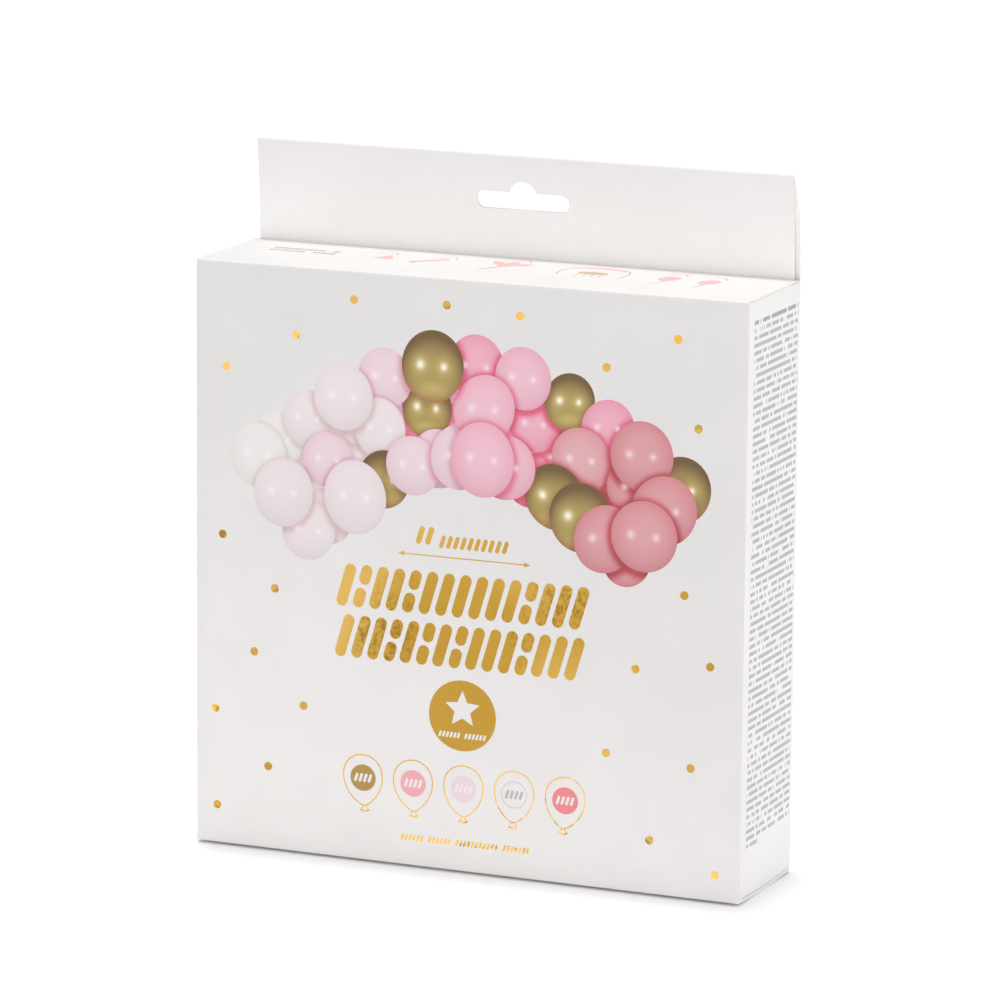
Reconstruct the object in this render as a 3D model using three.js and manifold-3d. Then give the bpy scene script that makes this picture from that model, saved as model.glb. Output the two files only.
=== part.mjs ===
// A retail carton of white folding board: a tall, shallow box whose lid is creased to the front panel and
// tucks in at the back, with a two-ply hang tab along the back panel.
// Millimetres, +Z up. The front panel faces -Y, and the origin is on the floor under the carton's middle.
import * as THREE from "three";
import { mergeVertices } from "three/addons/utils/BufferGeometryUtils.js";
import Module from "manifold-3d";

// Driving dimensions
const WIDTH = 200; // front panel, left to right
const DEPTH = 50; // front panel to back panel
const HEIGHT = 204; // floor to the top of the closed lid
const BOARD = 0.5; // thickness of the folding board
const CREASE = 1.2; // outer radius of the upright creases
const SEAM = 0.3; // clearance under the lid and at its ends
const SINK = 0.1; // how far one ply runs into the next, so that they join as one sheet

// The hang tab: its rise over the lid, how far its top leans forward, and how far the front ply stops short
const TAB = { rise: 35, lean: 3, root: 6, plyInset: 1.8 };

// The hang slot: a bar with round ends, its middle's height over the lid, and the hump on its upper edge
const SLOT = { width: 34, height: 6, above: 19.8, humpWidth: 10, humpRise: 3.8 };

// The dust flaps that fold in from the side walls, under the lid and on the bottom
const DUST = { reach: 46, frontShoulder: 6, backShoulder: 11, taper: 5, corner: 6 };

// The side wall's cut edge beside a dust flap is a little lower than the flap's crease
const NOTCH_DROP = 0.8;

// The bottom panel's raw ends sit a little inside the side walls' faces
const BOTTOM_INSET = 0.4;

// The lid's tuck: how far it reaches down, how far it clears the back panel, and its cut outline
const TUCK = { drop: 15, clear: 0.8, inset: 1.5, corner: 8 };

const front = -DEPTH / 2;
const back = DEPTH / 2;
const side = WIDTH / 2;
const lidUnderside = HEIGHT - BOARD;
const wallTop = lidUnderside - SEAM;

const AXIS_X = new THREE.Vector3(1, 0, 0);
const AXIS_Y = new THREE.Vector3(0, 1, 0);
const AXIS_Z = new THREE.Vector3(0, 0, 1);

// Where a drawn outline lies: in plan and thickened upwards, in the end view and thickened along +X, or in
// the front view and thickened along -Y.
const IN_PLAN = new THREE.Matrix4().makeBasis(AXIS_X, AXIS_Y, AXIS_Z);
const IN_END_VIEW = new THREE.Matrix4().makeBasis(AXIS_Y, AXIS_Z, AXIS_X);
const IN_FRONT_VIEW = new THREE.Matrix4().makeBasis(AXIS_X, AXIS_Z, AXIS_Y.clone().negate());

const wasm = await Module();
wasm.setup();

// A closed geometry as a solid that can be joined and cut.
function solidOf(geometry) {
  geometry.deleteAttribute("normal");
  geometry.deleteAttribute("uv");
  const merged = mergeVertices(geometry, 1e-5);
  return new wasm.Manifold(new wasm.Mesh({
    numProp: 3,
    vertProperties: new Float32Array(merged.attributes.position.array),
    triVerts: new Uint32Array(merged.index.array),
  }));
}

// An outline thickened into a slab, from one distance to a further one along its own normal.
function slab(outline, view, from, to) {
  const geometry = new THREE.ExtrudeGeometry(outline, {
    depth: to - from,
    bevelEnabled: false,
    curveSegments: 6,
  });
  geometry.translate(0, 0, from);
  geometry.applyMatrix4(view);
  return solidOf(geometry);
}

// A straight-sided outline through the given points.
function polygon(points) {
  return new THREE.Shape(points.map(([x, y]) => new THREE.Vector2(x, y)));
}

// A rectangle about the origin with round corners.
function roundedRectangle(width, depth, radius, Path = THREE.Shape) {
  const x = width / 2 - radius;
  const y = depth / 2 - radius;
  const path = new Path();
  path.absarc(x, y, radius, 0, Math.PI / 2);
  path.absarc(-x, y, radius, Math.PI / 2, Math.PI);
  path.absarc(-x, -y, radius, Math.PI, 1.5 * Math.PI);
  path.absarc(x, -y, radius, 1.5 * Math.PI, 2 * Math.PI);
  path.closePath();
  return path;
}

// The four walls, folded into a tube.
function wallTube() {
  const outline = roundedRectangle(WIDTH, DEPTH, CREASE);
  outline.holes.push(roundedRectangle(WIDTH - 2 * BOARD, DEPTH - 2 * BOARD, CREASE - BOARD, THREE.Path));
  return slab(outline, IN_PLAN, BOARD - SINK, wallTop);
}

// The bottom panel, the lowest layer of the closure.
function bottomPanel() {
  return slab(roundedRectangle(WIDTH - 2 * BOTTOM_INSET, DEPTH, CREASE), IN_PLAN, 0, BOARD);
}

// A dust flap, folded in from the right wall (end 1) or the left one (end -1), with its upper face at `top`.
function dustFlap(end, top) {
  const tip = side - DUST.reach;
  const rootFront = front + DUST.frontShoulder;
  const rootBack = back - DUST.backShoulder;
  const outline = new THREE.Shape();
  outline.moveTo(side, rootFront);
  outline.lineTo(side, rootBack);
  outline.lineTo(tip + DUST.corner, rootBack - DUST.taper);
  outline.quadraticCurveTo(tip, rootBack - DUST.taper, tip, rootBack - DUST.taper - DUST.corner);
  outline.lineTo(tip, rootFront + DUST.taper + DUST.corner);
  outline.quadraticCurveTo(tip, rootFront + DUST.taper, tip + DUST.corner, rootFront + DUST.taper);
  const right = slab(outline, IN_PLAN, top - BOARD, top);
  return end > 0 ? right : right.mirror([1, 0, 0]);
}

// What is cut from the side walls' upper edges beside the dust flaps' creases.
function wallNotch(end, from, to) {
  const outline = polygon([
    [side + BOARD, from],
    [side + BOARD, to],
    [side - BOARD - SINK, to],
    [side - BOARD - SINK, from],
  ]);
  const right = slab(outline, IN_PLAN, wallTop - NOTCH_DROP, wallTop + BOARD);
  return end > 0 ? right : right.mirror([1, 0, 0]);
}

// One ply of the hang tab between two distances in from the back panel's outer face: upright from `low` up to
// the lid's level, then leaning forward.
function tabPly(low, outer, inner, halfWidth) {
  const top = HEIGHT + TAB.rise;
  const lean = (z) => TAB.lean * Math.max(0, (z - HEIGHT) / TAB.rise);
  const levels = low < HEIGHT ? [low, HEIGHT, top] : [low, top];
  const backFace = levels.map((z) => [back - outer - lean(z), z]);
  const frontFace = levels.map((z) => [back - inner - lean(z), z]);
  return slab(polygon([...backFace, ...frontFace.reverse()]), IN_END_VIEW, -halfWidth, halfWidth);
}

// The hang slot as a plug that runs through both plies.
function slotPlug() {
  const middle = HEIGHT + SLOT.above;
  const end = SLOT.height / 2;
  const straight = SLOT.width / 2 - end;
  const foot = SLOT.humpWidth / 2;
  const humpRadius = (foot ** 2 + SLOT.humpRise ** 2) / (2 * SLOT.humpRise);
  const humpMiddle = middle + end + SLOT.humpRise - humpRadius;
  const footAngle = Math.atan2(middle + end - humpMiddle, foot);
  const outline = new THREE.Shape();
  outline.absarc(straight, middle, end, -Math.PI / 2, Math.PI / 2);
  outline.lineTo(foot, middle + end);
  outline.absarc(0, humpMiddle, humpRadius, footAngle, Math.PI - footAngle);
  outline.lineTo(-straight, middle + end);
  outline.absarc(-straight, middle, end, Math.PI / 2, 1.5 * Math.PI);
  return slab(outline, IN_FRONT_VIEW, -back - BOARD, TAB.lean + 3 * BOARD - back);
}

// Walls, bottom, dust flaps and hang tab: everything that stays put when the lid opens.
function cartonBody() {
  let body = wallTube().add(bottomPanel());
  for (const end of [1, -1]) {
    body = body.subtract(wallNotch(end, front + CREASE, front + DUST.frontShoulder));
    body = body.subtract(wallNotch(end, back - DUST.backShoulder, back - CREASE));
    body = body.add(dustFlap(end, wallTop)).add(dustFlap(end, 2 * BOARD - SINK));
  }
  const backPly = tabPly(HEIGHT - TAB.root, 0, BOARD, side - BOTTOM_INSET);
  const frontPly = tabPly(HEIGHT + SEAM, BOARD - SINK, 2 * BOARD, side - TAB.plyInset);
  return body.add(backPly).add(frontPly).subtract(slotPlug());
}

// The top panel, and the tuck that hangs from its back edge as an arc about the lid's crease, so that it
// swings out past the back panel without touching it.
function lidFlap() {
  const outer = DEPTH - 2 * BOARD - TUCK.clear;
  const inner = outer - BOARD;
  const turn = TUCK.drop / outer;
  const panel = polygon([
    [front, HEIGHT],
    [front, lidUnderside],
    [front + outer - SINK, lidUnderside],
    [front + outer, HEIGHT],
  ]);
  const band = new THREE.Shape();
  band.absarc(front, HEIGHT, outer, -turn, 0);
  band.absarc(front, HEIGHT, inner, 0, -turn, true);
  const cut = side - SEAM - TUCK.inset;
  const low = HEIGHT - TUCK.drop;
  const outline = new THREE.Shape();
  outline.moveTo(cut, HEIGHT);
  outline.lineTo(-cut, HEIGHT);
  outline.lineTo(-cut, low + TUCK.corner);
  outline.absarc(-cut + TUCK.corner, low + TUCK.corner, TUCK.corner, Math.PI, 1.5 * Math.PI);
  outline.absarc(cut - TUCK.corner, low + TUCK.corner, TUCK.corner, 1.5 * Math.PI, 2 * Math.PI);
  const tuck = slab(band, IN_END_VIEW, -side, side).intersect(slab(outline, IN_FRONT_VIEW, -back, back));
  return slab(panel, IN_END_VIEW, SEAM - side, side - SEAM).add(tuck);
}

// A finished solid as a named mesh in its own board colour.
function meshOf(solid, name, colour) {
  const { vertProperties, triVerts } = solid.getMesh();
  const geometry = new THREE.BufferGeometry();
  geometry.setAttribute("position", new THREE.BufferAttribute(vertProperties, 3));
  geometry.setIndex(new THREE.BufferAttribute(triVerts, 1));
  const material = new THREE.MeshStandardMaterial({ color: colour, roughness: 0.5, metalness: 0, flatShading: true });
  const mesh = new THREE.Mesh(geometry, material);
  mesh.name = name;
  return mesh;
}

const carton = new THREE.Group();
carton.add(meshOf(cartonBody(), "carton_body", 0xf1f0ee));
carton.add(meshOf(lidFlap(), "lid_flap", 0xf6f5f3));

export default carton;
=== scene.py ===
# %% [markdown]
# # A hang-tab carton, printed flat and then folded
# The real carton is one sheet of white folding board. It is printed, stamped with gold foil, cut and
# creased while it is flat, and only then folded up and glued. This lesson works in the same order:
# each panel is drawn as a flat sheet in millimetres, its print is laid on that sheet as patches, and
# one bending function folds it into place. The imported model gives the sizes, so the folded board
# lands exactly where the solid is.

import math
from collections import namedtuple

import bpy
import numpy as np
from mathutils import Matrix, Vector
from mathutils.geometry import delaunay_2d_cdt


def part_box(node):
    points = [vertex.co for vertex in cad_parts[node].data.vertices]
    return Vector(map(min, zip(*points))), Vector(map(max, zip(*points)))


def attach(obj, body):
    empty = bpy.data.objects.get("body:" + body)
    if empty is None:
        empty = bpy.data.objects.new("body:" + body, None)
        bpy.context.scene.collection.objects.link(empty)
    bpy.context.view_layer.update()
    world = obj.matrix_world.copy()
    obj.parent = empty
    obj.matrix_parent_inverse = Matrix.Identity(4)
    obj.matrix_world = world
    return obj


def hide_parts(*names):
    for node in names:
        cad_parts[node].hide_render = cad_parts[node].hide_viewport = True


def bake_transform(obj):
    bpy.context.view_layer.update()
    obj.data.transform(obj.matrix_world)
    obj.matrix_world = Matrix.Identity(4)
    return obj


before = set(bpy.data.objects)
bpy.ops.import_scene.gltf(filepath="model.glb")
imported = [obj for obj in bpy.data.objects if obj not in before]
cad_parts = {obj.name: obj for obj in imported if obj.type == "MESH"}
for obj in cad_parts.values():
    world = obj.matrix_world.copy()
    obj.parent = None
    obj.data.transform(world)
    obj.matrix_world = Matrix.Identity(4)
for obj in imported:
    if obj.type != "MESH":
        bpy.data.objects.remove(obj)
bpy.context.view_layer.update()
body_low, body_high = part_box("carton_body")
lid_low, lid_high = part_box("lid_flap")

# %% [markdown]
# ## The sizes
# Board is drawn in millimetres because that is how a carton maker marks a blank. The large sizes
# could be typed in, but read from the solid they stay right when it changes. The small ones, such as
# the crease radius, belong to the board itself and are the same all round.

# %% Sizes in millimetres
MM = 0.001
WIDTH = (body_high.x - body_low.x) / MM
DEPTH = (body_high.y - body_low.y) / MM
HEIGHT = lid_high.z / MM
TAB_RISE = body_high.z / MM - HEIGHT
BOARD = 0.5  # thickness of the folding board
CREASE = 1.2  # outer radius of the upright creases
TIGHT = 0.8  # outer radius of the bottom's and the tuck's creases
NIP = 0.55  # outer radius of the flaps' creases, which are pressed flat
SEAM = 0.05  # clearance under the lid
SLIT = 0.15  # open slit between the bottom's two layers and the side walls' lower edge
NOTCH = 0.12  # how far the side walls are cut down beside the dust flaps
FRONT, BACK, SIDE = -DEPTH / 2, DEPTH / 2, WIDTH / 2
WALL_TOP = HEIGHT - BOARD - SEAM
WALL_FOOT = 2 * BOARD + SLIT
print("carton %.0f x %.0f x %.0f mm, tab %.0f mm" % (WIDTH, DEPTH, HEIGHT, TAB_RISE))

# %% [markdown]
# ## The camera
# The view is a long lens from the right and a little above, which keeps the box's edges nearly
# parallel. The place and the angles were solved once from the box's own corners, so they are plain
# numbers here. A constraint could aim the camera at a target, but three plain turns also carry the
# slight roll.

# %% Camera
CAMERA_AT = (0.7919, -1.8579, 0.54)  # metres
CAMERA_AZIMUTH, CAMERA_DOWN, CAMERA_ROLL = 23.03, 11.62, 0.516  # degrees
CAMERA_LENS = 219.3  # millimetres, on a sensor 36 mm wide


def add_camera():
    """Aim a camera by three turns: round the object, down from level, and about its own line of sight."""
    data = bpy.data.cameras.new("camera")
    data.lens = CAMERA_LENS
    data.sensor_width = 36.0
    data.clip_end = 50.0
    camera = bpy.data.objects.new("camera", data)
    turn = Matrix.Rotation(math.radians(CAMERA_AZIMUTH), 4, "Z")
    tilt = Matrix.Rotation(math.radians(90 - CAMERA_DOWN), 4, "X")
    roll = Matrix.Rotation(math.radians(CAMERA_ROLL), 4, "Z")
    camera.matrix_world = Matrix.Translation(CAMERA_AT) @ turn @ tilt @ roll
    bpy.context.scene.collection.objects.link(camera)
    bpy.context.scene.camera = camera
    return camera


add_camera()
print("camera", CAMERA_AT, "lens", CAMERA_LENS)

# %% [markdown]
# ## Small helpers for shader nodes
# Every finish below is a small node tree. Writing each node with its links in one call keeps the
# trees short enough to read: a value that is already an output socket is linked, and anything else is
# typed into the input.


# %% Node helpers
def node(tree, kind, inputs=None, **settings):
    """Add one shader node, set its options, and link or type its inputs, which go by name or by number."""
    made = tree.nodes.new(kind)
    for option, value in settings.items():
        setattr(made, option, value)
    for key, value in (inputs or {}).items():
        if isinstance(value, bpy.types.NodeSocket):
            tree.links.new(value, made.inputs[key])
        else:
            made.inputs[key].default_value = value
    return made


def maths(tree, operation, *values):
    """One Math node on sockets or numbers."""
    return node(tree, "ShaderNodeMath", dict(enumerate(values)), operation=operation).outputs[0]


def blended(tree, share, first, second, mode="MIX"):
    """Mix two colours by a share from 0 to 1."""
    mix = node(tree, "ShaderNodeMix", {0: share, 6: first, 7: second}, data_type="RGBA", blend_type=mode)
    return mix.outputs[2]


def grey(tree, value):
    """A grey: one value in all three channels."""
    return node(tree, "ShaderNodeCombineColor", {0: value, 1: value, 2: value}).outputs[0]


def ranged(tree, value, low, high, to_low, to_high):
    """Map a value from one range to another, held at both ends."""
    inputs = {0: value, 1: low, 2: high, 3: to_low, 4: to_high}
    return node(tree, "ShaderNodeMapRange", inputs, interpolation_type="SMOOTHSTEP").outputs[0]


def noise(tree, scale, detail=2.0, rough=0.5):
    """Noise on Object coordinates, in metres: a scale of 100 has features about 10 mm across."""
    place = node(tree, "ShaderNodeTexCoord").outputs["Object"]
    inputs = {"Vector": place, "Scale": scale, "Detail": detail, "Roughness": rough}
    return node(tree, "ShaderNodeTexNoise", inputs).outputs["Fac"]


def bumped(tree, strength, depth, height, under=None):
    """A bump this many metres deep, laid over another one where `under` is given."""
    inputs = {"Strength": strength, "Distance": depth, "Height": height}
    if under is not None:
        inputs["Normal"] = under
    return node(tree, "ShaderNodeBump", inputs).outputs[0]


def stored(tree, name, output):
    """Read one of the piece's own attributes."""
    return node(tree, "ShaderNodeAttribute", attribute_name=name).outputs[output]


def new_finish(name):
    """An empty finish: the material, its node tree and its main shader."""
    material = bpy.data.materials.new(name)
    material.use_nodes = True
    return material, material.node_tree, material.node_tree.nodes["Principled BSDF"]


def linear(red, green, blue):
    """An ink colour mixed on screen, from 0 to 255, as the light values that a shader wants."""
    screen = np.array([red, green, blue]) / 255
    light = np.where(screen <= 0.04045, screen / 12.92, ((screen + 0.055) / 1.055) ** 2.4)
    return (*light.tolist(), 1.0)


print("a screen grey of 128 is a light value of %.3f" % linear(128, 128, 128)[0])

# %% [markdown]
# ## The finishes
# Coated board is not one white. The film over the print has a satin gloss that wanders a little, the
# board under it is faintly mottled, and it scuffs where it is creased. The scuffs read an attribute
# called `fold`, which holds how near each point is to a crease. Some whites also carry painted shade:
# the lid is a shade darker than the walls, the tab is lighter at its foot and darker at its top, and
# the front's ground is lighter towards its foot and its left. Print and picture lie under the same
# film, so they share its gloss and bump. A painted image could show all this too, but it would blur
# close up. Noise nodes wander at every scale.


# %% Coated board and inks
# The lid's white is painted a shade darker than the rest of the board.
BOARD_WHITE, LID_SHADED_WHITE = linear(245, 243, 242), linear(242, 240, 238)
# The tab's two whites are painted light and shade: lighter at its foot, over the lid, and darker at its
# top.
TAB_LIT_FOOT, TAB_SHADED_TOP = linear(252, 250, 249), linear(237, 234, 234)
GROUND_LIT_FOOT, GROUND_SHADED_TOP = linear(239, 236, 235), linear(225, 222, 222)  # the front's pale ground, with painted shade: lighter at the foot, darker at the top
GROUND_SHADE_SLANT = 0.35  # slope of the ground's painted shade, whose lighter tones reach higher on the left
SCUFFED_WHITE = linear(226, 223, 219)
FINISHES = {}


def keep(key, finish):
    """Put a finish on the shelf under a short name."""
    FINISHES[key] = finish
    print(finish.name, "has", len(finish.node_tree.nodes), "nodes")


def satin_film(tree, shader, gloss):
    """Give a shader the film's gloss and its faint orange-peel surface."""
    drift = noise(tree, 60.0, 3.0)
    scuff = maths(tree, "MULTIPLY", stored(tree, "fold", "Fac"), 0.18)
    rough = maths(tree, "ADD", ranged(tree, drift, 0.3, 0.7, gloss - 0.04, gloss + 0.05), scuff)
    tree.links.new(rough, shader.inputs["Roughness"])
    peel = bumped(tree, 0.12, 0.00006, noise(tree, 1500.0, 3.0))
    sway = bumped(tree, 0.5, 0.0004, noise(tree, 22.0, 1.0), peel)
    tree.links.new(sway, shader.inputs["Normal"])


def aged(tree, colour):
    """Mottle a printed colour faintly, and grey it where the board is creased."""
    mottle = ranged(tree, noise(tree, 35.0, 4.0, 0.6), 0.25, 0.75, 0.965, 1.0)
    fibre = ranged(tree, noise(tree, 2600.0, 2.0), 0.3, 0.7, 0.985, 1.0)
    shade = maths(tree, "MULTIPLY", mottle, fibre)
    even = blended(tree, 1.0, colour, grey(tree, shade), "MULTIPLY")
    broken = ranged(tree, noise(tree, 420.0, 4.0, 0.7), 0.35, 0.7, 0.0, 1.0)
    scuff = maths(tree, "MULTIPLY", stored(tree, "fold", "Fac"), broken)
    return blended(tree, maths(tree, "MULTIPLY", scuff, 0.3), even, SCUFFED_WHITE)


def coated_board(name, foot, top, low=0.0, high=HEIGHT, slant=0.0):
    """Board under a satin film. Its tone goes from `foot` to `top` as z + slant x goes from low to high."""
    material, tree, shader = new_finish(name)
    place = node(tree, "ShaderNodeTexCoord").outputs["Object"]
    upwards = (slant, 0.0, 1.0)
    level = node(tree, "ShaderNodeVectorMath", {0: place, 1: upwards}, operation="DOT_PRODUCT").outputs[1]
    tone = blended(tree, ranged(tree, level, low * MM, high * MM, 0.0, 1.0), foot, top)
    tree.links.new(aged(tree, tone), shader.inputs["Base Color"])
    satin_film(tree, shader, 0.42)
    return material


def printed_ink():
    """Flat ink: its colour is stored on the piece, patch by patch."""
    material, tree, shader = new_finish("printed ink")
    tree.links.new(aged(tree, stored(tree, "ink", "Color")), shader.inputs["Base Color"])
    satin_film(tree, shader, 0.40)
    return material


keep("coat", coated_board("coated board", BOARD_WHITE, BOARD_WHITE))
# The front's ground is a pale tone with painted shade: lighter towards the foot and the left, darker
# towards the top right.
keep("ground", coated_board("front ground with painted shade", GROUND_LIT_FOOT, GROUND_SHADED_TOP, -GROUND_SHADE_SLANT * SIDE,
                            HEIGHT - GROUND_SHADE_SLANT * SIDE, GROUND_SHADE_SLANT))
# The lid and its crease strip: the same board as the walls, painted a shade darker.
keep("lid", coated_board("lid board with painted shade", LID_SHADED_WHITE, LID_SHADED_WHITE))
# The tab's front ply: painted light at its foot, painted shade at its top.
keep("tab", coated_board("tab board with painted shade", TAB_LIT_FOOT, TAB_SHADED_TOP, HEIGHT, HEIGHT + TAB_RISE))
keep("ink", printed_ink())


# %% Gold foil
FOIL_BRIGHT = linear(218, 178, 96)
FOIL_GOLD = linear(190, 149, 62)
FOIL_DEEP = linear(144, 110, 38)
PAINTED_GLINT = (1.4, 1.4, 1.4, 1.0)  # a painted highlight: stored as the ink of some foil marks, it brightens them as if they caught the light


def gold_foil():
    """Stamped foil: a metal whose tone drifts over the panel, crackled where it took the stamp unevenly,
    and brightened by a painted glint where its stored ink is above 1.
    """
    material, tree, shader = new_finish("gold foil")
    drift = ranged(tree, noise(tree, 16.0, 1.0), 0.35, 0.65, 0.0, 1.0)
    tone = blended(tree, drift, FOIL_GOLD, FOIL_BRIGHT)
    crackle = ranged(tree, noise(tree, 620.0, 5.0, 0.65), 0.42, 0.62, 0.0, 1.0)
    where = ranged(tree, noise(tree, 24.0, 2.0), 0.48, 0.62, 0.0, 0.85)
    tone = blended(tree, maths(tree, "MULTIPLY", crackle, where), tone, FOIL_DEEP)
    # A stored ink above 1 brightens the foil: a painted glint.
    tone = blended(tree, 1.0, tone, stored(tree, "ink", "Color"), "MULTIPLY")
    tree.links.new(tone, shader.inputs["Base Color"])
    shader.inputs["Metallic"].default_value = 1.0
    tree.links.new(ranged(tree, noise(tree, 90.0, 3.0), 0.3, 0.7, 0.2, 0.32), shader.inputs["Roughness"])
    dents = bumped(tree, 0.25, 0.00008, noise(tree, 700.0, 4.0))
    tree.links.new(dents, shader.inputs["Normal"])
    return material


keep("foil", gold_foil())


# %% Bare board and its cut edge
def bare_board(name, pale, dark, fibre_scale):
    """Uncoated board: matt, with a speckle of fibres between two tones."""
    material, tree, shader = new_finish(name)
    cloud = noise(tree, 40.0, 3.0)
    fibre = noise(tree, fibre_scale, 4.0, 0.7)
    speckle = maths(tree, "ADD", maths(tree, "MULTIPLY", cloud, 0.4), fibre)
    share = ranged(tree, speckle, 0.5, 0.95, 0.0, 1.0)
    tree.links.new(blended(tree, share, pale, dark), shader.inputs["Base Color"])
    tree.links.new(ranged(tree, fibre, 0.3, 0.7, 0.78, 0.92), shader.inputs["Roughness"])
    tree.links.new(bumped(tree, 0.3, 0.0001, fibre), shader.inputs["Normal"])
    return material


keep("inside", bare_board("bare board", linear(246, 245, 239), linear(235, 232, 223), 900.0))
keep("edge", bare_board("cut edge", linear(250, 248, 247), linear(243, 241, 239), 3000.0))

# %% [markdown]
# ## Balloons as print
# The picture on the front is flat ink, so nothing about it is raised. Modelled balls would stand out
# from the board, and an image would blur close up. So each balloon is a disc-shaped patch, and its
# material works out a ball's shading from two numbers stored on the patch: how far across and how far
# up the disc a point is, from -1 to 1. Latex glows deeper towards its rim; chrome balloons are darker
# with a sharper glint.


# %% Picture ink
LEFT_GLINT, RIGHT_GLINT = (-0.4, 0.03), (0.36, 0.0)  # where a ball mirrors the two lamps
RAISE = 1.18  # brings the tints' red nearly to 1


def glint(tree, across, up, at, size):
    """A soft spot of light on the disc: e to the minus squared distance from `at`, over `size` squared."""
    dx = maths(tree, "SUBTRACT", across, at[0])
    dy = maths(tree, "SUBTRACT", up, at[1])
    square = maths(tree, "ADD", maths(tree, "MULTIPLY", dx, dx), maths(tree, "MULTIPLY", dy, dy))
    return maths(tree, "EXPONENT", maths(tree, "DIVIDE", square, -size * size))


def two_glints(tree, across, up, left_size, right_size):
    """The glints of both lamps together."""
    left = glint(tree, across, up, LEFT_GLINT, left_size)
    right = glint(tree, across, up, RIGHT_GLINT, right_size)
    return maths(tree, "ADD", left, right)


def picture_ink():
    """The printed balloons, latex and chrome, shaded from each patch's own disc coordinates."""
    material, tree, shader = new_finish("printed picture")
    disc_place = node(tree, "ShaderNodeSeparateXYZ", {0: stored(tree, "ball", "Vector")})
    across, up, chrome = disc_place.outputs
    crowd = stored(tree, "crowd", "Fac")
    tint = stored(tree, "ink", "Color")
    square = maths(tree, "ADD", maths(tree, "MULTIPLY", across, across), maths(tree, "MULTIPLY", up, up))
    facing = maths(tree, "SQRT", maths(tree, "MAXIMUM", maths(tree, "SUBTRACT", 1.0, square), 0.0))
    spots = two_glints(tree, across, up, 0.12, 0.1)
    # Latex: the raised tint to a power that grows towards the rim and between neighbours. White then stays
    # white in the shadows, and pink turns rosier instead of grey.
    rim = maths(tree, "MULTIPLY", maths(tree, "SUBTRACT", 1.0, facing), 0.55)
    depth = maths(tree, "ADD", maths(tree, "ADD", 1.0, rim), maths(tree, "MULTIPLY", crowd, 2.2))
    raised = blended(tree, 1.0, tint, (RAISE, RAISE, RAISE, 1.0), "MULTIPLY")
    latex = node(tree, "ShaderNodeGamma", {0: raised, 1: depth}).outputs[0]
    lit = maths(tree, "ADD", maths(tree, "ADD", 0.763, maths(tree, "MULTIPLY", up, 0.042)),
                maths(tree, "MULTIPLY", facing, 0.068))
    lit = maths(tree, "MULTIPLY", lit, ranged(tree, crowd, 0.0, 1.0, 1.0, 0.84))
    latex = blended(tree, 1.0, latex, grey(tree, lit), "MULTIPLY")
    latex = blended(tree, maths(tree, "MULTIPLY", spots, 0.5), latex, linear(255, 246, 248))
    # Chrome: olive gold, brown overhead, with a paler band low down and a copper reflection at the rim
    level = ranged(tree, maths(tree, "ADD", maths(tree, "MULTIPLY", up, -0.45), facing), 0.1, 1.0, 0.0, 1.0)
    metal = blended(tree, level, linear(108, 82, 42), linear(166, 142, 78))
    band = glint(tree, maths(tree, "MULTIPLY", across, 0.45), up, (0.0, -0.62), 0.2)
    metal = blended(tree, maths(tree, "MULTIPLY", band, 0.6), metal, linear(206, 184, 112))
    low = ranged(tree, up, 0.2, -0.6, 0.0, 1.0)
    edge = ranged(tree, facing, 0.6, 0.15, 0.0, 0.75)
    metal = blended(tree, maths(tree, "MULTIPLY", low, edge), metal, linear(176, 116, 70))
    metal = blended(tree, maths(tree, "MULTIPLY", crowd, 0.6), metal, linear(128, 66, 42))
    halo = two_glints(tree, across, up, 0.3, 0.27)
    metal = blended(tree, maths(tree, "MULTIPLY", halo, 0.45), metal, linear(222, 202, 128))
    metal = blended(tree, spots, metal, linear(255, 248, 226))
    tree.links.new(aged(tree, blended(tree, chrome, latex, metal)), shader.inputs["Base Color"])
    satin_film(tree, shader, 0.40)
    return material


keep("picture", picture_ink())

# %% [markdown]
# ## Folding
# A strip of board runs straight and turns at its creases. Walking along it, a straight leg adds its
# length in the present direction, and a crease adds an arc of a small radius. `bend` does that for
# all points at once: each leg clips the walked distance to its own stretch, so every point collects
# exactly the legs that lie before it. Bones or a bend modifier could fold a mesh too, one crease at a
# time. A formula is exact and does them all.


# %% Bend a strip along its creases
def bend(along, start, heading, legs, outside=1):
    """Points of a folded strip in its own plane, and the unit vectors that point out of its printed face.

    Each leg is (length, turn). With no turn it adds t (cos h, sin h) for a heading h. With one it adds
    r (sin(h + a) - sin h, cos h - cos(h + a)), where a is the part of the turn that has been walked and
    r is length over turn. The printed face is on the right of the heading, or where outside is -1 on the
    left."""
    along = np.asarray(along, float)
    point = np.repeat([np.asarray(start, float)], len(along), axis=0)
    angle = np.full(len(along), heading, float)
    begun = 0.0
    for length, turn in legs:
        walked = np.clip(along - begun, 0.0, length)
        if turn:
            ahead = angle + walked * turn / length
            radius = length / turn
            point += radius * np.c_[np.sin(ahead) - np.sin(angle), np.cos(angle) - np.cos(ahead)]
            angle = ahead
        else:
            point += walked[:, None] * np.c_[np.cos(angle), np.sin(angle)]
        begun += length
    return point, outside * np.c_[np.sin(angle), -np.cos(angle)]


def corner(radius, turn=math.pi / 2):
    """A crease as a leg: an arc of this outer radius through this turn."""
    return abs(turn) * radius, turn


print("an upright crease takes up %.2f mm of board" % corner(CREASE)[0])

# %% The four walls as one strip
FLAT_FRONT = WIDTH / 2 - CREASE  # half the straight run of the front and back panels
FLAT_SIDE = DEPTH - 2 * CREASE  # the straight run of a side panel
ARC = corner(CREASE)[0]
LAP = 4 * FLAT_FRONT + 2 * FLAT_SIDE + 4 * ARC
RIGHT_MIDDLE = FLAT_FRONT + ARC + FLAT_SIDE / 2
BULGE = {"front": 0.5, "side": 0.25}  # how far the slack panels belly out, in millimetres


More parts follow.
